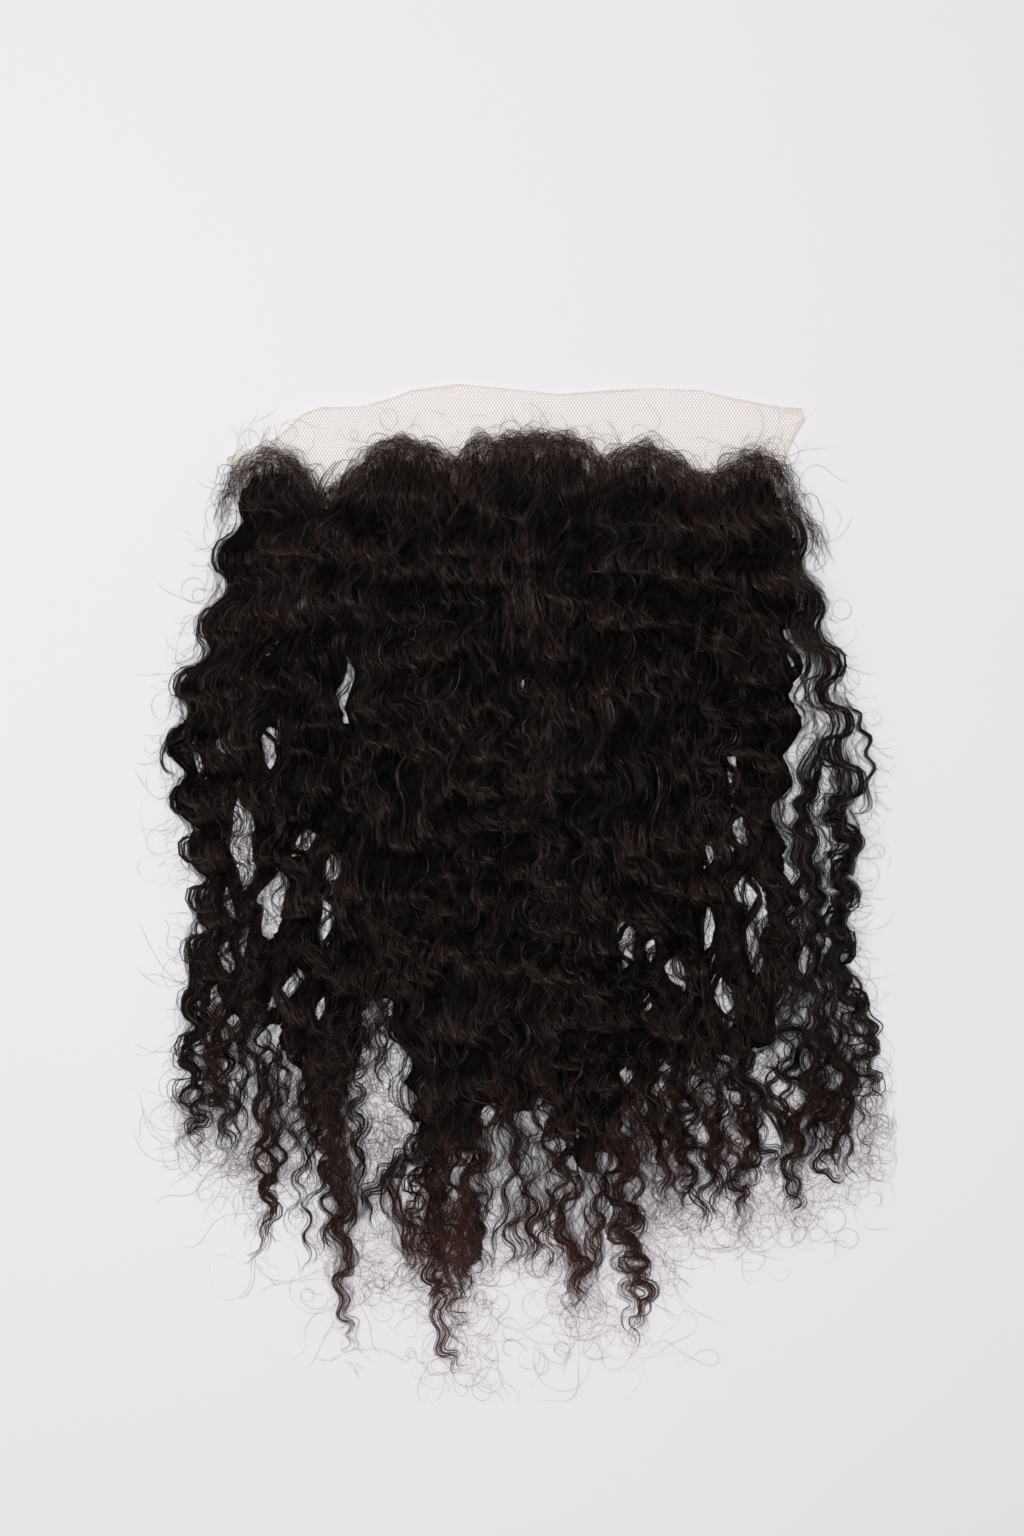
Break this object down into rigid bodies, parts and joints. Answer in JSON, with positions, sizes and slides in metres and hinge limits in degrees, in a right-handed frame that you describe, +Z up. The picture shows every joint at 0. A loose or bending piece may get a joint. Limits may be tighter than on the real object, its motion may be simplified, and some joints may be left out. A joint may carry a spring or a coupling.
{
  "type": "curly lace frontal",
  "caption": "Long curly black hair tied into a wide lace strip, lying flat, for the front of a wig.",
  "frame": {"origin": "centre of the lace base's underside, on the surface it lies on", "axes": "+Z up from the surface, +Y towards the lace's bare front edge, hair runs towards -Y"},
  "size_m": [0.4097, 0.5652, 0.0173],
  "materials": {
    "lace": "fine undyed hexagonal net, matt",
    "hair": "natural black hair with a soft sheen"
  },
  "bodies": {
    "root": {"lace_base": "lace", "hair_left_temple": "hair", "hair_left": "hair", "hair_centre": "hair", "hair_right": "hair", "hair_right_temple": "hair"}
  },
  "joints": []
}
